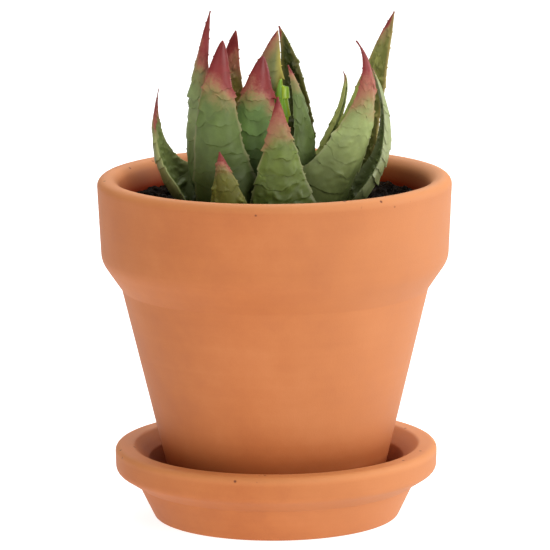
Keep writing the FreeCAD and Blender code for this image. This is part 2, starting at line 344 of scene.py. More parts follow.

# Phenolic foam, cut with a wire: dead matt and pale green, speckled by the dark mouths of
# open cells, whose darkness is painted shade in the holes. They are drawn 1.1 mm wide,
# coarser than real ones, so that they show.
material, tree = new_material("dry_floral_foam")
place = add(tree, "ShaderNodeTexCoord").outputs["Object"]
cells = add(tree, "ShaderNodeTexVoronoi", {"Vector": place, "Scale": 1 / 0.0011})
shade = add(tree, "ShaderNodeTexNoise", {"Vector": place, "Scale": 1 / 0.012, "Detail": 4.0})
dark = add(tree, "ShaderNodeMapRange", {0: cells.outputs["Distance"], 1: 0.1, 2: 0.6, 3: 0.15, 4: 0.75})
mixed = add(tree, "ShaderNodeMath", {
    0: shade.outputs[0], 1: 0.4, 2: dark.outputs[0]}, operation="MULTIPLY_ADD")
tint = add(tree, "ShaderNodeValToRGB", {0: mixed.outputs[0]}, [
    (0.25, "#33402C"), (1.0, "#7E8C6A"), (0.6, "#5C6B4C")])
bump = add(tree, "ShaderNodeBump", {"Height": dark.outputs[0], "Strength": 0.8, "Distance": 0.0004})
shader = add(tree, "ShaderNodeBsdfPrincipled", {
    "Base Color": tint.outputs[0], "Normal": bump.outputs[0], "Roughness": 0.95, "Specular IOR Level": 0.2})
add(tree, "ShaderNodeOutputMaterial", {0: shader.outputs[0]})
foam.data.materials.append(material)
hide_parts("foam_plug")
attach(foam, "filling")

# ---------------------------------------------------------------------------------------
# Moss soil: a ring of dark peat with moss fibres, glued lightly on top of the foam, with
# loose crumbs on it. It dips towards the plant and is packed against the pot's wall.


def peat(name, clump_mm):
    """Dark peat, dried and milled: nearly black, fibrous and quite matt, in clumps of the
    given size, with some red-brown wood dust of about 0.9 mm."""
    made, tree = new_material(name)
    place = add(tree, "ShaderNodeTexCoord").outputs["Object"]
    clump = add(tree, "ShaderNodeTexNoise", {
        "Vector": place, "Scale": 1 / (clump_mm * MM), "Detail": 6.0, "Roughness": 0.7})
    dust = add(tree, "ShaderNodeTexNoise", {"Vector": place, "Scale": 1 / 0.0009, "Detail": 2.0})
    mixed = add(tree, "ShaderNodeMath", {
        0: dust.outputs[0], 1: 0.45, 2: clump.outputs[0]}, operation="MULTIPLY_ADD")
    tint = add(tree, "ShaderNodeValToRGB", {0: mixed.outputs[0]}, [
        (0.58, "#070403"), (0.95, "#3E2916"), (0.72, "#120B06"), (0.82, "#20140B")])
    bump = add(tree, "ShaderNodeBump", {"Height": mixed.outputs[0], "Strength": 0.9, "Distance": 0.0006})
    shader = add(tree, "ShaderNodeBsdfPrincipled", {
        "Base Color": tint.outputs[0], "Normal": bump.outputs[0], "Roughness": 0.95,
        "Specular IOR Level": 0.08})
    add(tree, "ShaderNodeOutputMaterial", {0: shader.outputs[0]})
    return made


def strewn_lumps(middles, sizes, seed):
    """Angular lumps: each is the same 7 by 5 ring grid, squashed and dented by its own
    random numbers, of the given size about its own middle, turned about the vertical."""
    rng = np.random.default_rng(seed)
    count, rings, points = len(middles), 5, 7
    tilt = np.linspace(0.18, np.pi - 0.18, rings)
    turn = np.arange(points) * 2 * np.pi / points
    ball = np.stack([
        np.sin(tilt)[:, None] * np.cos(turn), np.sin(tilt)[:, None] * np.sin(turn),
        np.cos(tilt)[:, None] + 0 * turn], -1)
    stretch = rng.uniform(0.6, 1.25, (count, 1, 1, 3)) * [1, 1, 0.75]
    dents = rng.uniform(0.72, 1.2, (count, rings, points, 1))
    spin = rng.uniform(0, 2 * np.pi, (count, 1, 1))
    lumps = ball[None] * stretch * dents * sizes[:, None, None, None]
    x, y = lumps[..., 0].copy(), lumps[..., 1].copy()
    lumps[..., 0] = x * np.cos(spin) - y * np.sin(spin)
    lumps[..., 1] = x * np.sin(spin) + y * np.cos(spin)
    return lumps + middles[:, None, None, :]


def bent_fibres(starts, lengths, lift, thick, seed):
    """Thin fibres: a three-sided tube along a random curve that bends by a slow turn of
    its heading, rises in the middle like an arch of the given lift, and thins at its end."""
    rng = np.random.default_rng(seed)
    count, steps = len(starts), 8
    share = np.linspace(0, 1, steps)[None, :]
    heading = rng.uniform(0, 2 * np.pi, (count, 1)) + rng.uniform(-2.2, 2.2, (count, 1)) * share
    stride = lengths[:, None] / (steps - 1)
    x = starts[:, :1] + np.cumsum(np.cos(heading), 1) * stride
    y = starts[:, 1:2] + np.cumsum(np.sin(heading), 1) * stride
    z = starts[:, 2:3] + np.sin(np.pi * share) * lift * rng.uniform(0.1, 1.0, (count, 1))
    wide = thick * (1 - 0.6 * share) * rng.uniform(0.6, 1.3, (count, 1))
    turn = np.arange(3) * 2 * np.pi / 3
    side = np.stack([-np.sin(heading), np.cos(heading)], -1)[:, :, None, :]
    tubes = np.empty((count, steps, 3, 3))
    sideways = side * (np.cos(turn) * wide[..., None])[..., None]
    tubes[..., :2] = np.stack([x, y], -1)[:, :, None, :] + sideways
    tubes[..., 2] = z[:, :, None] + np.sin(turn) * wide[..., None]
    return tubes


def many_skins(name, sets):
    """One mesh of many small closed tubes: every (count, rings, points, 3) set is skinned
    at once by adding each tube's first point number to one tube's quads and end caps."""
    places, quads, caps, used = [], [], [], 0
    for tubes in sets:
        count, rings, points = tubes.shape[:3]
        index = np.arange(rings * points).reshape(rings, points)
        here, following = index[:-1], index[1:]
        one = np.stack([here, np.roll(here, -1, 1), np.roll(following, -1, 1), following], -1)
        first = used + np.arange(count)[:, None, None] * rings * points
        corner = tubes.reshape(count, -1, 3)[:, one.reshape(-1, 4)]
        crossed = np.cross(corner[:, :, 2] - corner[:, :, 0], corner[:, :, 3] - corner[:, :, 1])
        middle = tubes.reshape(count, -1, 3).mean(1)[:, None]
        outward = (crossed * (corner.mean(2) - middle)).sum((1, 2)) > 0
        faces = first + one.reshape(-1, 4)[None]
        quads.append(np.where(outward[:, None, None], faces, faces[..., ::-1]).reshape(-1, 4))
        low, high = first[:, 0] + index[0][::-1], first[:, 0] + index[-1]
        ends = np.concatenate([low, high])
        caps.append(np.where(np.tile(outward, 2)[:, None], ends, ends[:, ::-1]))
        places.append(tubes.reshape(-1, 3))
        used += count * rings * points
    places = np.concatenate(places)
    faces = [face for block in quads + caps for face in block.tolist()]
    mesh = bpy.data.meshes.new(name)
    mesh.from_pydata((places * MM).tolist(), [], faces)
    mesh.update(calc_edges=True)
    piece = bpy.data.objects.new(name, mesh)
    bpy.context.collection.objects.link(piece)
    return piece


WELL_RADIUS, SOIL_FLAT_RADIUS, SOIL_OUTER_RADIUS = 26.4, 32.0, 44.3
SOIL_DIP, SOIL_RISE = 91.8, 3.2


def soil_height(x, y):
    """Height of the soil: SOIL_RISE above the dip out by the wall, falling to the dip at
    the plant, with two sizes of lumps and a slow roll that banks it up on one side."""
    out = np.hypot(x, y)
    slope = np.clip((out - WELL_RADIUS) / (SOIL_FLAT_RADIUS - WELL_RADIUS), 0, 1)
    lumps = 0.45 * soft_noise(x / 2.6, y / 2.6, 21) + 0.30 * soft_noise(x / 1.1, y / 1.1, 22)
    return SOIL_DIP + SOIL_RISE * slope + lumps + 0.35 * soft_noise(x / 14, y / 14, 23)


around = np.linspace(0, 2 * np.pi, 420, endpoint=False)[None, :]
reach = np.linspace(WELL_RADIUS, SOIL_OUTER_RADIUS, 52)[:, None]
top = np.stack([reach * np.cos(around), reach * np.sin(around), 0 * reach * around], -1)
top[..., 2] = soil_height(top[..., 0], top[..., 1])
under = np.array([
    [SOIL_OUTER_RADIUS - 0.3, 93.6], [42.9, 89.0], [41.9, FOAM_TOP + 0.2],
    [36.0, FOAM_TOP], [WELL_RADIUS + 0.6, FOAM_TOP], [WELL_RADIUS, FOAM_TOP + 3]])
under = np.stack([
    under[:, :1] * np.cos(around), under[:, :1] * np.sin(around), under[:, 1:] + 0 * around], -1)
soil = skin("moss_soil_bed", np.concatenate([top, under]), ring_of_rings=True)
soil.data.materials.append(peat("peat_and_moss", clump_mm=3.0))

# Loose crumbs and fibres: evenly strewn over the ring, since the square root of an even
# spread of squared radii gives every patch its share.
rng = np.random.default_rng(31)
LOOSE_CRUMBS, LOOSE_FIBRES = 900, 520
bearing = rng.uniform(0, 2 * np.pi, LOOSE_CRUMBS)
out = np.sqrt(rng.uniform(28.5 ** 2, 43.0 ** 2, LOOSE_CRUMBS))
sizes = rng.gamma(3.0, 0.22, LOOSE_CRUMBS).clip(0.25, 1.7)
lumps_x, lumps_y = out * np.cos(bearing), out * np.sin(bearing)
lumps_z = soil_height(lumps_x, lumps_y) + sizes * 0.25
crumbs = strewn_lumps(np.stack([lumps_x, lumps_y, lumps_z], -1), sizes, seed=32)
bearing = rng.uniform(0, 2 * np.pi, LOOSE_FIBRES)
out = np.sqrt(rng.uniform(29.5 ** 2, 40.0 ** 2, LOOSE_FIBRES))
starts = np.stack([out * np.cos(bearing), out * np.sin(bearing), 0 * out], -1)
starts[:, 2] = soil_height(starts[:, 0], starts[:, 1]) + 0.1
lengths = rng.uniform(2.0, 6.0, LOOSE_FIBRES)
fibres = bent_fibres(starts, lengths, lift=1.6, thick=0.11, seed=33)
inside = np.hypot(fibres[..., 0], fibres[..., 1]).max((1, 2)) < 43.6
crumb_piece = many_skins("soil_crumbs_and_fibres", [crumbs, fibres[inside]])
crumb_piece.data.materials.append(peat("peat_crumbs", clump_mm=1.6))
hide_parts("soil_bed")
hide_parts("soil_crumbs")
for piece in (soil, crumb_piece):
    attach(piece, "filling")

# ---------------------------------------------------------------------------------------
# Stem wire: a straight piece of galvanised steel wire, sheared at its foot. It is moulded
# into the crown and pins the plant down into the foam.

wire_profile = rounded_profile([
    (0.3, WIRE_FOOT, 0),
    (WIRE_RADIUS, WIRE_FOOT, 0.25),
    (WIRE_RADIUS, WIRE_TOP, 0.1),
    (0.3, WIRE_TOP, 0),
], step=0.8)
wire_profile = np.concatenate([
    [[0.3, WIRE_FOOT]], wire_profile[wire_profile[:, 0] > 0.31], [[0.3, WIRE_TOP]]])
wire = skin("stem_wire_steel", turn_on_axis(wire_profile, around=40, ripple=0.0, seed=2))

# Hot-dipped zinc over drawn steel: a dull silver with fine lines along the draw, which
# are drawn 0.3 mm apart so that they show.
material, tree = new_material("galvanised_steel_wire")
place = add(tree, "ShaderNodeTexCoord").outputs["Object"]
drawn = add(tree, "ShaderNodeMapping", {"Vector": place, "Scale": (1 / 0.0003, 1 / 0.0003, 1 / 0.012)})
lines = add(tree, "ShaderNodeTexNoise", {"Vector": drawn.outputs[0], "Scale": 1.0, "Detail": 3.0})
tint = add(tree, "ShaderNodeValToRGB", {0: lines.outputs[0]}, [(0.35, "#8B8F90"), (0.7, "#B9BCBB")])
rough = add(tree, "ShaderNodeMapRange", {0: lines.outputs[0], 3: 0.32, 4: 0.55})
bump = add(tree, "ShaderNodeBump", {"Height": lines.outputs[0], "Strength": 0.3, "Distance": 0.00005})
shader = add(tree, "ShaderNodeBsdfPrincipled", {
    "Base Color": tint.outputs[0], "Roughness": rough.outputs[0], "Normal": bump.outputs[0],
    "Metallic": 1.0})
add(tree, "ShaderNodeOutputMaterial", {0: shader.outputs[0]})
wire.data.materials.append(material)
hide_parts("stem_wire")
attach(wire, "plant")

# ---------------------------------------------------------------------------------------
# Crown: a domed disc of green polyethylene with the wire in its boss. The leaves plug
# into its top, and loose peat is glued over it so that the plastic hardly shows.

CROWN_RADIUS, CROWN_EDGE, CROWN_TOP = 25.8, 89.6, 92.4

crown_profile = rounded_profile([
    (AXIS_GAP, FOAM_TOP, 0),
    (CROWN_RADIUS, FOAM_TOP, 0.5),
    (CROWN_RADIUS, CROWN_EDGE, 1.5),
    (CROWN_RADIUS / 2, CROWN_TOP, 12.0),
    (AXIS_GAP, CROWN_TOP, 0),
], step=0.4)
off_axis = crown_profile[crown_profile[:, 0] > AXIS_GAP + 0.01]
crown_profile = np.concatenate([[[AXIS_GAP, FOAM_TOP]], off_axis, [[AXIS_GAP, CROWN_TOP]]])
crown_grid = turn_on_axis(crown_profile, around=260, ripple=0.05, seed=4)
on_top = np.clip((crown_grid[..., 2] - 88.8) / 1.5, 0, 1)
rough_top = 0.22 * soft_noise(crown_grid[..., 0] / 1.4, crown_grid[..., 1] / 1.4, 41)
crown_grid[..., 2] += on_top * (rough_top - 0.25)
crown = skin("crown_disc", crown_grid)

# Moulded green polyethylene under glued peat: half matt green at the rim, and matt
# near-black in clumps of about 3 mm over the top.
material, tree = new_material("moulded_polyethylene_crown")
place = add(tree, "ShaderNodeTexCoord").outputs["Object"]
glued = add(tree, "ShaderNodeTexNoise", {
    "Vector": place, "Scale": 1 / 0.003, "Detail": 5.0, "Roughness": 0.7})
height = add(tree, "ShaderNodeSeparateXYZ", {0: place})
peat_top = add(tree, "ShaderNodeMapRange", {
    0: height.outputs[2], 1: 0.0885, 2: 0.0905, 3: 0.0, 4: 0.30})
cover = add(tree, "ShaderNodeMath", {0: glued.outputs[0], 1: peat_top.outputs[0]}, operation="ADD")
cover = add(tree, "ShaderNodeMapRange", {0: cover.outputs[0], 1: 0.58, 2: 0.66})
dust = add(tree, "ShaderNodeValToRGB", {0: glued.outputs[0]}, [(0.35, "#0F0905"), (0.7, "#3A2715")])
tint = add(tree, "ShaderNodeMix", {
    0: cover.outputs[0], 6: linear("#3F5A28"), 7: dust.outputs[0]}, data_type="RGBA")
rough = add(tree, "ShaderNodeMapRange", {0: cover.outputs[0], 3: 0.5, 4: 0.95})
bump = add(tree, "ShaderNodeBump", {"Height": glued.outputs[0], "Strength": 0.8, "Distance": 0.0007})
shader = add(tree, "ShaderNodeBsdfPrincipled", {
    "Base Color": tint.outputs[2], "Roughness": rough.outputs[0], "Normal": bump.outputs[0], "IOR": 1.5})
add(tree, "ShaderNodeOutputMaterial", {0: shader.outputs[0]})
crown.data.materials.append(material)
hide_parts("crown")

GLUED_LUMPS = 420
bearing = rng.uniform(0, 2 * np.pi, GLUED_LUMPS)
out = np.sqrt(rng.uniform(0, 24.6 ** 2, GLUED_LUMPS))
sizes = rng.gamma(3.0, 0.18, GLUED_LUMPS).clip(0.25, 1.1)
dome = np.interp(out, [0, 12, 24, CROWN_RADIUS], [92.3, 91.8, 89.9, 89.0])
middles = np.stack([out * np.cos(bearing), out * np.sin(bearing), dome], -1)
glued_lumps = strewn_lumps(middles, sizes, seed=42)
crown_peat = many_skins("crown_glued_peat", [glued_lumps])
crown_peat.data.materials.append(peat("glued_peat", clump_mm=1.6))
for piece, finish in ((crown, "crown_plastic"), (crown_peat, "moss_soil")):
    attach(piece, "plant")

# ---------------------------------------------------------------------------------------
# Leaves: hollow-faced aloe leaves of soft polyethylene, each moulded in one piece with
# overlapping scale lines on its back, warts inside and small teeth along its margins.
# The tips are airbrushed in tan and red. Each root tab is pressed into the crown.

THICKNESS, MARGIN_SHARE, ROOT_SHARE, TIP_HALF_WIDTH = 1.3, 0.4, 0.42, 0.3
KNOTS = np.array([0, 1 / 3, 2 / 3, 1])

# As in the frame: the bearing that the cupped side faces, the half width at the widest
# place, where along the leaf that is, the cup's half angle, the taper, and four places
# along the keel from root to tip.
LEAVES = {
    "leaf_far_left": (
        -20, 8.8, 0.30, 70, 1.10, (-20.8, 2, 88), (-31.2, 3, 99.5), (-35.8, 4, 112), (-34.1, 4, 128.3)),
    "leaf_tall_left": (
        50, 6.5, 0.28, 55, 0.82, (-16, -2, 88), (-22.9, -2.5, 107), (-23.1, -2, 129), (-18.6, 2, 151.6)),
    "leaf_big_front_left": (
        82, 9.4, 0.20, 48, 0.63, (-11, -11.5, 88), (-15.8, -13, 106), (-16.9, -12, 125), (-14.9, -7, 144)),
    "leaf_red_back": (
        -85, 6.9, 0.22, 52, 0.60, (-8, 14, 88), (-10.8, 17, 106), (-13, 16, 124.5), (-11.1, 10, 144.6)),
    "leaf_centre": (
        90, 9.5, 0.30, 50, 0.60, (-3.5, -5.5, 88), (-4.9, -7, 104.5), (-5, -6, 121.5), (-3.1, -2, 138.6)),
    "leaf_pale_centre": (
        75, 9.2, 0.30, 50, 0.75, (-3, 4.5, 88), (-4.3, 5, 107), (-3, 5, 126.5), (1.3, 4, 145.3)),
    "leaf_dark_back": (
        -95, 7.4, 0.22, 52, 0.76, (4, 16, 88), (6, 18, 106.5), (6, 17, 126), (1.7, 11, 145.7)),
    "leaf_right_centre": (
        120, 4.9, 0.22, 55, 0.72, (8.6, -4, 88), (10, -5, 104), (9, -4, 120), (4.3, -1, 135.7)),
    "leaf_front_centre": (
        90, 9.6, 0.20, 46, 0.85, (2.5, -18, 88), (2.2, -19, 101), (1.6, -17.5, 114), (1.2, -13, 128.1)),
    "leaf_front_left_small": (
        80, 6.3, 0.22, 52, 0.80, (-12.3, -19, 88), (-13.7, -21, 96), (-14.8, -21.5, 104.5), (-16, -20, 113)),
    "leaf_right_big": (
        118, 9.2, 0.22, 52, 1.05, (11, -9, 88), (19.3, -12, 105.5), (27.2, -11, 124.5), (24.9, -7, 143.5)),
    "leaf_thin_back_right": (
        -16, 5.7, 0.25, 60, 0.72, (6.5, 6, 88), (10.4, 6.2, 103.5), (17.6, 6, 119), (20.9, 4.5, 133)),
    "leaf_far_right_tall": (
        -125, 8.8, 0.22, 50, 0.76, (16, 9, 88), (24.6, 13.2, 107), (30.4, 13.4, 127.5), (36, 11, 149.8)),
    "leaf_right_outer": (
        -171, 7.4, 0.25, 64, 0.78, (17, -3, 88), (30.3, -2.5, 101), (34.6, -2, 116.5), (29.2, 0, 134.5)),
    "leaf_yellow_green": (
        75, 4.2, 0.22, 50, 0.55, (12.2, 2, 88), (16.1, 1.4, 102), (21, 0.2, 115.5), (24.8, -1.5, 129.5)),
    "leaf_back_right": (
        -110, 6.0, 0.22, 50, 0.85, (12, 16, 88), (16.5, 22, 98), (19.5, 25.5, 107.5), (20, 27, 117)),
    "leaf_back_left": (
        -62, 6.5, 0.22, 50, 0.85, (-8, 18, 88), (-13, 24, 98), (-16, 27, 110), (-16.5, 28, 122)),
}

# How far down from the tip each leaf is airbrushed red, and then tan, as shares of its
# length (less than nothing for a leaf without paint), how much further the paint runs down
# one margin, how high the warts on its back are in millimetres, how much of its half width
# is a pale margin, and the green of its back, of its cupped face and of its margins.
PAINT = {
    "leaf_far_left": (0.10, 0.17, 0.2, 0.10, 0.24, "#828850", "#7C8A4E", "#A0A46C"),
    "leaf_tall_left": (0.18, 0.28, 0.5, 0.06, 0.10, "#82905A", "#42552E", "#787A50"),
    "leaf_big_front_left": (0.20, 0.29, 0.20, 0.10, 0.12, "#5E7038", "#3F5228", "#8C8860"),
    "leaf_red_back": (0.12, 0.30, 0.7, 0.06, 0.20, "#5E6A38", "#A08E44", "#A8805A"),
    "leaf_centre": (0.20, 0.25, 0.4, 0.08, 0.12, "#688444", "#3C5028", "#6E7848"),
    "leaf_pale_centre": (0.01, 0.15, -0.6, 0.06, 0.60, "#7E8450", "#4A6418", "#B4A244"),
    "leaf_dark_back": (0.01, 0.04, 0.3, 0.10, 0.30, "#4A5A26", "#383E16", "#645E2C"),
    "leaf_right_centre": (0.01, 0.12, 0.3, 0.22, 0.12, "#5E7038", "#3C5028", "#7E8A5C"),
    "leaf_front_centre": (0.11, 0.28, -0.2, 0.90, 0.12, "#6A7A36", "#42562E", "#8C8C60"),
    "leaf_front_left_small": (0.13, 0.22, 0.1, 4.0, 0.14, "#6E6E2C", "#3A3A1A", "#7E7A40"),
    "leaf_right_big": (0.17, 0.34, -0.3, 0.50, 0.10, "#8E9C60", "#4A5228", "#A2A676"),
    "leaf_thin_back_right": (0.01, 0.03, 0.2, 0.08, 0.50, "#ACB464", "#5A6630", "#B0B468"),
    "leaf_far_right_tall": (0.04, 0.08, 0.4, 0.08, 0.16, "#6A6834", "#7E8040", "#98864E"),
    "leaf_right_outer": (0.01, 0.03, 0.2, 0.20, 0.30, "#8A9464", "#7A8850", "#98A078"),
    "leaf_yellow_green": (-0.06, -0.05, 0.2, 0.06, 0.14, "#A8B45A", "#5C6030", "#B4B868"),
    "leaf_back_right": (0.17, 0.25, 0.3, 0.08, 0.12, "#5F6B35", "#3F5228", "#7C7C54"),
    "leaf_back_left": (0.18, 0.26, 0.3, 0.08, 0.12, "#616D38", "#3F5228", "#7C7C54"),
}

# Tips that were bent as they left the mould, and how far, as (x, y, z) in millimetres.
HOOKS = {"leaf_right_big": (-0.6, 0, 0.2), "leaf_thin_back_right": (-0.5, 0, 0.0)}


def along_keel(places, s):
    """Place and unit direction at share s on the cubic through four evenly spaced places:
    the Lagrange sum of each place times the product of (s - other) / (own - other)."""
    place, slope = 0, 0
    for k in range(4):
        a, b, c = (s - knot for knot in np.delete(KNOTS, k))
        scale = np.prod(KNOTS[k] - np.delete(KNOTS, k))
        place = place + (a * b * c / scale)[..., None] * np.array(places[k], float)
        slope = slope + ((a * b + a * c + b * c) / scale)[..., None] * np.array(places[k], float)
    return place, slope / np.linalg.norm(slope, axis=-1, keepdims=True)


def scale_rows(length, rng):
    """Rows along a leaf: scale lines every 3 to 6 mm, closer towards the tip, each with
    rows packed just before and after it. Returns each row's share of the length, how far
    it is through its scale, its scale's height in millimetres and its scale's number."""
    last_scale, tip_rows = 0.78, 44
    edges = [0.0]
    while edges[-1] < last_scale:
        edges.append(edges[-1] + rng.uniform(3.0, 6.2) * (1 - 0.4 * edges[-1]) / length)
    edges = np.array(edges)
    inside = np.array([0, 0.02, 0.06, 0.12, 0.2, 0.29, 0.38, 0.48, 0.58, 0.68, 0.78, 0.87, 0.94, 0.98])
    rows = (edges[:-1, None] + (edges[1:] - edges[:-1])[:, None] * inside).ravel()
    heights = np.repeat(rng.uniform(0.20, 0.62, len(edges) - 1), len(inside))
    through = np.tile(inside, len(edges) - 1)
    which = np.repeat(np.arange(len(edges) - 1), len(inside))
    tip = np.linspace(edges[-1], 1.0, tip_rows)
    rows = np.concatenate([rows, tip])
    heights = np.concatenate([heights, 0 * tip])
    through = np.concatenate([through, 0 * tip + 1])
    which = np.concatenate([which, 0 * tip + len(edges)])
    return rows, through, heights, which


def leaf_half_width(s, widest, at, taper):
    """Half width at share s of the length: it swells from ROOT_SHARE of the widest by a
    quarter of a sine, and then falls by (1 - s) / (1 - at) to the power of the taper."""
    swell = ROOT_SHARE + (1 - ROOT_SHARE) * np.sin(np.pi / 2 * np.minimum(s / at, 1))
    fall = np.clip((1 - s) / (1 - at), 0, 1) ** taper
    return np.maximum(widest * np.where(s < at, swell, fall), TIP_HALF_WIDTH)


def warts(down, over, seed):
    """Warts from 0 to 1.3 high at down and over in millimetres: the upper half of noise
    with lumps 1.6 mm apart, and half as much of lumps 0.8 mm apart."""
    lumps = soft_noise(down / 1.6, over / 1.6, seed)
    lumps = lumps + 0.5 * soft_noise(down / 0.8, over / 0.8, seed + 50)
    return np.clip(lumps, 0, 1.2) ** 1.4


def margin_shape(rows, part, which, t, half, length, rng):
    """How far teeth and notches stand out at the margins, in millimetres: each scale ends
    in a step of its own on each side, and small teeth stand 2 to 7 mm apart."""
    steps = rng.gamma(1.3, 0.28, (int(which.max()) + 1, 2)).clip(0, 0.95)[which.astype(int)]
    notches = np.where(t < 0, steps[:, :1], steps[:, 1:]) * (1 - part) ** 1.2
    notches = notches * np.clip((np.abs(t) - 0.72) / 0.28, 0, 1) ** 1.5 * np.clip(half / 3, 0, 1)
    teeth = np.zeros((len(rows), 2))
    for side in (0, 1):
        spots = np.cumsum(rng.uniform(2.2, 7.0, 40)) / length
        spots = spots[(spots > 0.12) & (spots < 0.95)]
        nearest = np.abs(rows[:, None] - spots[None]).argmin(0)
        teeth[nearest, side] = rng.uniform(0.12, 0.5, len(spots))
    teeth = np.where(t < 0, teeth[:, :1], teeth[:, 1:]) * np.clip((np.abs(t) - 0.97) / 0.03, 0, 1)
    return teeth, notches


def leaf_grid(spec, warty_back, hook, seed):
    """Rings across a leaf. At share s the back is an arc of radius half width / sin(cup)
    that starts from the keel, P + N (R - r cos(b)) + W r sin(b), with b the cup's angle
    times t from -1 to 1. The cupped face is the same arc at a smaller radius. The scale
    lines sag in the middle and wander because a row's s gains sag times t squared and
    some noise. Each scale stands proud at its root end, more in some places than others,
    and sinks away towards the tip."""
    faces, widest, at, cup, taper, *places = spec
    rng = np.random.default_rng(seed)
    length = np.linalg.norm(np.diff(np.array(places, float), axis=0), axis=1).sum()
    rows, through, heights, which = scale_rows(length, rng)
    points = 49
    back_t = np.sin(np.linspace(-np.pi / 2, np.pi / 2, points))
    t = np.concatenate([back_t, back_t[::-1][1:-1]])[None, :]
    inner = np.concatenate([np.zeros(points), np.ones(points - 2)])[None, :]
    row, part, height, number = rows[:, None], through[:, None], heights[:, None], which[:, None]

    # Where each row runs, and how broad and how cupped the leaf is there.
    ends_fade = np.clip(row / 0.15, 0, 1) * np.clip((1 - row) / 0.25, 0, 1)
    wander = 1.6 / length * soft_noise(t * 2.6 + 9, row * length / 4, seed + 50)
    wander = wander + 0.5 / length * soft_noise(t * 8, number * 2.3, seed + 70)
    sag = 0.035 * t ** 2 + rng.uniform(-0.016, 0.016) * t
    s = np.clip(row + ends_fade * (sag + wander), 0, 1)
    uneven = soft_noise(row * length / 6 + 0 * t, np.sign(t) * 0.9 + 0 * row, seed + 100)
    half = leaf_half_width(s, widest, at, taper) * (1 + 0.045 * uneven)
    cup = np.radians(cup) * (1 + 0.10 * soft_noise(row * length / 11, 0 * row, seed + 200))
    place, along = along_keel(places, s)
    place = place + np.array(hook) * (np.clip((s - 0.93) / 0.07, 0, 1) ** 2)[..., None]
    facing = np.array([np.cos(np.radians(faces)), np.sin(np.radians(faces)), 0])
    inward = facing - along * (along @ facing)[..., None]
    inward /= np.linalg.norm(inward, axis=-1, keepdims=True)
    across = np.cross(along, inward)

    # Relief, in millimetres: scales and warts on the back, warts and dents in the cup.
    broad = np.clip(half / 3.5, 0, 1)
    thick = np.minimum(THICKNESS, 0.55 * half) * (1 - (1 - MARGIN_SHARE) * np.abs(t) ** 3)
    down, over = s * length, half * t
    patchy = np.clip(0.5 + 1.1 * soft_noise(t * 2.4 + 20, number * 3.7, seed + 250), 0.0, 1.3)
    scale = height * patchy * (1 - part) ** 1.4 * broad * np.clip((1 - np.abs(t)) / 0.10, 0, 1)
    bumps = warts(down, over, seed + 500) * broad * np.clip((1 - np.abs(t)) / 0.15, 0, 1)
    dents = 0.20 * soft_noise(down / 4.5, half * t / 3.5, seed + 400) * broad
    rough_root = warty_back * (0.35 + np.clip((0.45 - s) / 0.4, 0, 1))
    back = scale + rough_root * bumps + 0.03 * soft_noise(down / 0.9, over / 0.9, seed + 300)
    keep_root = np.clip(row / 0.10, 0, 1)
    deeper = np.where(inner > 0, thick - dents + 0.9 * bumps, -(back + dents) * keep_root)

    radius = half / np.sin(cup)
    r, b = radius - deeper, cup * t
    grid = place + inward * (radius - r * np.cos(b))[..., None] + across * (r * np.sin(b))[..., None]
    teeth, notches = margin_shape(rows, part, which, t, half, length, rng)
    outward = np.sign(t) * (teeth + notches * ends_fade)
    grid = grid + across * outward[..., None] + along * (0.4 * teeth)[..., None]

    # Painted shadow: the dark line under each scale's overhanging edge, on all but the last, which the paint
    # covers.
    below = np.clip((part - 0.7) / 0.28, 0, 1) * (number < which.max())
    painted_scale_shadow = np.clip(patchy * height / 0.6, 0, 1) * below
    return grid, {"along": s, "side": t + 0 * row, "cupped": inner + 0 * row, "painted_scale_shadow": painted_scale_shadow}


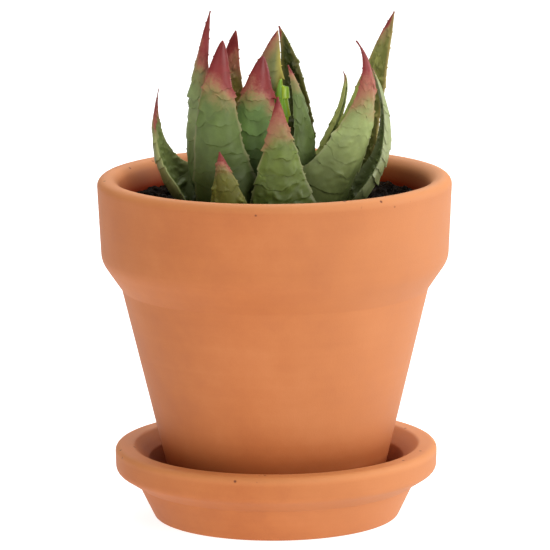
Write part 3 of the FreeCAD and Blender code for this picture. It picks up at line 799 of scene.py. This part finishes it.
def airbrushed_polyethylene(name, red_to, tan_to, lean, pale, back_green, face_green, margin_green):
    """Soft moulded polyethylene: waxy, faintly see-through and half matt. The green is
    moulded in, its margins are paler where the plastic is thin, its root is darker, and
    the tan and red are sprayed on from the tip, further down the margins and down one
    side of the leaf, so they fade out in fine specks and not at a line. The darker root is
    painted shade where the leaves crowd together, and a painted shadow line lies under
    each scale's edge."""
    material, tree = new_material(name)
    place = add(tree, "ShaderNodeTexCoord").outputs["Object"]
    along, side, cupped, painted_scale_shadow = (
        add(tree, "ShaderNodeAttribute", attribute_name=mark).outputs["Fac"]
        for mark in ("along", "side", "cupped", "painted_scale_shadow"))
    across = add(tree, "ShaderNodeMath", {0: side}, operation="ABSOLUTE")
    cloud, speck, blotch = (
        add(tree, "ShaderNodeTexNoise", {"Vector": place, "Scale": 1 / size, "Detail": detail})
        for size, detail in ((0.006, 4.0), (0.0006, 2.0), (0.0025, 3.0)))

    # How far each point counts as being towards the tip for the spray gun.
    spray = add(tree, "ShaderNodeMath", {0: side, 1: -0.10 * lean, 2: along}, operation="MULTIPLY_ADD")
    edge = add(tree, "ShaderNodeMath", {0: across.outputs[0], 1: 4.0}, operation="POWER")
    for layer, share in ((edge, 0.06 * min(1, 8 * red_to)), (cloud, 0.26), (speck, 0.06)):
        spray = add(tree, "ShaderNodeMath", {
            0: layer.outputs[0], 1: share, 2: spray.outputs[0]}, operation="MULTIPLY_ADD")
    spray = add(tree, "ShaderNodeMath", {0: spray.outputs[0], 1: 0.16}, operation="SUBTRACT")
    red, tan = 1 - red_to, 1 - tan_to
    painted = add(tree, "ShaderNodeValToRGB", {0: spray.outputs[0]}, [
        (tan - 0.06, "#77713F"), (1.0, "#6E2020"), (min(tan + 0.03, 0.955), "#91744C"),
        (min(max(red - 0.02, tan + 0.05), 0.965), "#965846"), (min(red + 0.045, 0.985), "#802C2A")])
    cover = add(tree, "ShaderNodeMapRange", {
        0: spray.outputs[0], 1: tan - 0.09, 2: tan + 0.05}, interpolation_type="SMOOTHSTEP")

    mottle = add(tree, "ShaderNodeMapRange", {0: cloud.outputs[0], 1: 0.3, 2: 0.7, 3: 0.82, 4: 1.12})
    fleck = add(tree, "ShaderNodeMapRange", {0: blotch.outputs[0], 1: 0.35, 2: 0.65, 3: 0.92, 4: 1.06})
    shade = add(tree, "ShaderNodeMath", {0: mottle.outputs[0], 1: fleck.outputs[0]}, operation="MULTIPLY")
    green = add(tree, "ShaderNodeMix", {
        0: cupped, 6: linear(back_green), 7: linear(face_green)}, data_type="RGBA")
    lit = add(tree, "ShaderNodeVectorMath", {
        0: green.outputs[2], "Scale": shade.outputs[0]}, operation="SCALE")
    margin = add(tree, "ShaderNodeMapRange", {
        0: across.outputs[0], 1: 1 - pale, 2: 1 - 0.15 * pale, 3: 0.0, 4: 0.75})
    # Painted shade: the root is painted near-black green, where the leaves crowd together at the crown.
    painted_root_shade = add(tree, "ShaderNodeMapRange", {0: along, 1: 0.08, 2: 0.52, 3: 1.0, 4: 0.0})
    # Painted shadow under the scale edges, laid over the paint.
    painted_groove_shadow = add(tree, "ShaderNodeMath", {0: painted_scale_shadow, 1: 0.30}, operation="MULTIPLY")
    colour = lit.outputs[0]
    for share, laid_on in (
            (margin, linear(margin_green)), (painted_root_shade, linear("#2C3608")),
            (cover, painted.outputs[0]), (painted_groove_shadow, linear("#33381A"))):
        colour = add(tree, "ShaderNodeMix", {
            0: share.outputs[0], 6: colour, 7: laid_on}, data_type="RGBA").outputs[2]

    bump = add(tree, "ShaderNodeBump", {"Height": blotch.outputs[0], "Strength": 0.35, "Distance": 0.00025})
    rough = add(tree, "ShaderNodeMapRange", {0: spray.outputs[0], 1: red, 2: red + 0.15, 3: 0.50, 4: 0.40})
    shader = add(tree, "ShaderNodeBsdfPrincipled", {
        "Base Color": colour, "Roughness": rough.outputs[0], "Normal": bump.outputs[0],
        "IOR": 1.5, "Specular IOR Level": 0.30, "Subsurface Weight": 0.10,
        "Subsurface Radius": (0.0015, 0.002, 0.0008), "Subsurface Scale": 1.0})
    add(tree, "ShaderNodeOutputMaterial", {0: shader.outputs[0]})
    return material


for number, (name, spec) in enumerate(LEAVES.items()):
    red_to, tan_to, lean, warty_back, pale, *greens = PAINT[name]
    grid, marks = leaf_grid(spec, warty_back, HOOKS.get(name, (0, 0, 0)), seed=60 + number)
    moulded = skin(name + "_moulded", grid, marks=marks)
    moulded.data.materials.append(airbrushed_polyethylene(
        name + "_polyethylene", red_to, tan_to, lean, pale, *greens))
    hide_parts(name)
    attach(moulded, "plant")

# ---------------------------------------------------------------------------------------
# Heart shoot: the unopened bud in the middle, moulded in bright green polyethylene that
# is left unpainted. Three folded leaflets wrap round one another in three storeys, and
# one leaflet leans out further than the rest. Its root plugs into the crown.

BUD_TURNED = 0.6
bud_places = [(1, 0, 88), (1.2, 0, 102.5), (1.6, 0, 117), (2.4, -0.5, 131.5)]
bud_s = np.linspace(0, 1, 160)[:, None]
bud_turn = np.linspace(0, 2 * np.pi, 72, endpoint=False)[None, :]
bud_place, bud_along = along_keel(bud_places, bud_s)
bud_side = np.cross(bud_along, [0, -1.0, 0])
bud_side /= np.linalg.norm(bud_side, axis=-1, keepdims=True)
bud_up = np.cross(bud_side, bud_along)

# fold runs from 0 to 1 over each leaflet's width, and drops back at its free margin.
storey = np.clip((bud_s - 0.62) / 0.38, 0, 1) * 3
fold = (bud_turn / (2 * np.pi) * 3 + 0.5 * np.floor(storey) + 0.08 * bud_s) % 1
rolled = 0.90 + 0.28 * np.where(fold < 0.92, fold, (1 - fold) * 11.5) ** 1.5
pointed = 1 - 0.62 * np.abs(2 * fold - 1) * (storey % 1)
swell = 1.7 + 1.1 * np.sin(np.pi * np.clip((bud_s - 0.45) / 0.55, 0, 1))
leaning = np.clip((bud_s - 0.66) / 0.28, 0, 1) * np.where(bud_s < 0.955, 1.0, -1.2)
leaning = 1 + 0.75 * leaning * np.clip(np.cos(bud_turn - BUD_TURNED), 0, 1)
bud_radius = (TIP_HALF_WIDTH + swell * (1 - bud_s) ** 0.22) * leaning * rolled * pointed
bud_grid = bud_place + bud_side * (bud_radius * np.cos(bud_turn - BUD_TURNED))[..., None]
bud_grid = bud_grid + bud_up * (bud_radius * np.sin(bud_turn - BUD_TURNED))[..., None]
bud = skin("heart_shoot_bud", bud_grid, marks={"fold": fold + 0 * bud_s})

# Unpainted polyethylene: glossier than the leaves, bright green and streaked lengthwise
# every 0.8 mm, and yellower towards each leaflet's free margin.
material, tree = new_material("unpainted_green_polyethylene")
place = add(tree, "ShaderNodeTexCoord").outputs["Object"]
fold_mark = add(tree, "ShaderNodeAttribute", attribute_name="fold").outputs["Fac"]
streak = add(tree, "ShaderNodeMapping", {"Vector": place, "Scale": (1 / 0.0008, 1 / 0.0008, 1 / 0.012)})
lines = add(tree, "ShaderNodeTexNoise", {"Vector": streak.outputs[0], "Scale": 1.0, "Detail": 3.0})
mixed = add(tree, "ShaderNodeMath", {0: fold_mark, 1: 0.5, 2: lines.outputs[0]}, operation="MULTIPLY_ADD")
tint = add(tree, "ShaderNodeValToRGB", {0: mixed.outputs[0]}, [
    (0.3, "#466A08"), (1.0, "#94AC1C"), (0.65, "#648C08")])
bump = add(tree, "ShaderNodeBump", {"Height": lines.outputs[0], "Strength": 0.3, "Distance": 0.0002})
shader = add(tree, "ShaderNodeBsdfPrincipled", {
    "Base Color": tint.outputs[0], "Normal": bump.outputs[0], "Roughness": 0.38, "IOR": 1.5,
    "Subsurface Weight": 0.10, "Subsurface Radius": (0.0012, 0.0014, 0.0004), "Subsurface Scale": 1.0})
add(tree, "ShaderNodeOutputMaterial", {0: shader.outputs[0]})
bud.data.materials.append(material)
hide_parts("heart_shoot")
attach(bud, "plant")

# ---------------------------------------------------------------------------------------
# Studio: a white floor lit from below like a light table, so that hardly a shadow falls on
# it, a large soft light on the right, a weaker one on the left, one at the right edge, one
# above and one on the floor behind, and a long lens looking down on the rim a little.

FLOOR_REACH = 6.0
floor_corners = [
    (x * FLOOR_REACH, y * FLOOR_REACH, 0) for x, y in ((-1, -1), (1, -1), (1, 1), (-1, 1))]
floor_mesh = bpy.data.meshes.new("white_floor")
floor_mesh.from_pydata(floor_corners, [], [(0, 1, 2, 3)])
floor = bpy.data.objects.new("white_floor", floor_mesh)
bpy.context.collection.objects.link(floor)

# White acrylic over lamps: matt, evenly bright, with a fine frosting every 4 mm.
material, tree = new_material("lit_white_acrylic")
place = add(tree, "ShaderNodeTexCoord").outputs["Object"]
frosting = add(tree, "ShaderNodeTexNoise", {"Vector": place, "Scale": 1 / 0.004, "Detail": 3.0})
tint = add(tree, "ShaderNodeMapRange", {0: frosting.outputs[0], 3: 0.44, 4: 0.48})
shader = add(tree, "ShaderNodeBsdfPrincipled", {
    "Base Color": tint.outputs[0], "Roughness": 0.9,
    "Emission Color": (1, 1, 1, 1), "Emission Strength": 0.85})
add(tree, "ShaderNodeOutputMaterial", {0: shader.outputs[0]})
floor.data.materials.append(material)


def soft_light(name, place, aim, size, watts, colour):
    """Square area light that looks from its place at the aim point."""
    lamp = bpy.data.lights.new(name, "AREA")
    lamp.size = size
    lamp.energy = watts
    lamp.color = colour
    holder = bpy.data.objects.new(name, lamp)
    holder.location = place
    away = holder.location - type(holder.location)(aim)
    holder.rotation_euler = away.to_track_quat("Z", "Y").to_euler()
    bpy.context.collection.objects.link(holder)


middle = (0, 0, 0.07)
soft_light("key_right", (0.8, -1.3, 0.75), middle, size=0.8, watts=15.5, colour=(1.0, 0.985, 0.96))
soft_light("fill_left", (-0.95, -1.2, 0.45), middle, size=1.0, watts=6, colour=(0.97, 0.985, 1.0))
soft_light("edge_right", (1.2, 0.25, 0.5), middle, size=0.6, watts=11, colour=(1.0, 0.99, 0.97))
soft_light("top", (0.1, 0.1, 1.3), (0, 0, 0.05), size=0.9, watts=6, colour=(1.0, 1.0, 1.0))
soft_light("on_the_floor", (0.0, 1.3, 1.1), (0, 1.1, 0), size=1.6, watts=20, colour=(1.0, 1.0, 1.0))

world = bpy.data.worlds.new("studio_white")
world.use_nodes = True
background = world.node_tree.nodes["Background"]
background.inputs["Color"].default_value = (1, 1, 1, 1)
background.inputs["Strength"].default_value = 0.20
bpy.context.scene.world = world
bpy.context.scene.view_settings.view_transform = "Standard"
bpy.context.scene.view_settings.look = "None"

lens = bpy.data.cameras.new("long_lens")
lens.sensor_width = 36
lens.lens = 327
lens.clip_end = 50
camera = bpy.data.objects.new("camera", lens)
camera.location = (0, -1.46, 0.349)
aim = camera.location - type(camera.location)((0, 0, 0.0725))
camera.rotation_euler = aim.to_track_quat("Z", "Y").to_euler()
CAMERA_ROLL = np.radians(-0.4)
camera.rotation_euler.rotate_axis("Z", CAMERA_ROLL)
bpy.context.collection.objects.link(camera)
bpy.context.scene.camera = camera
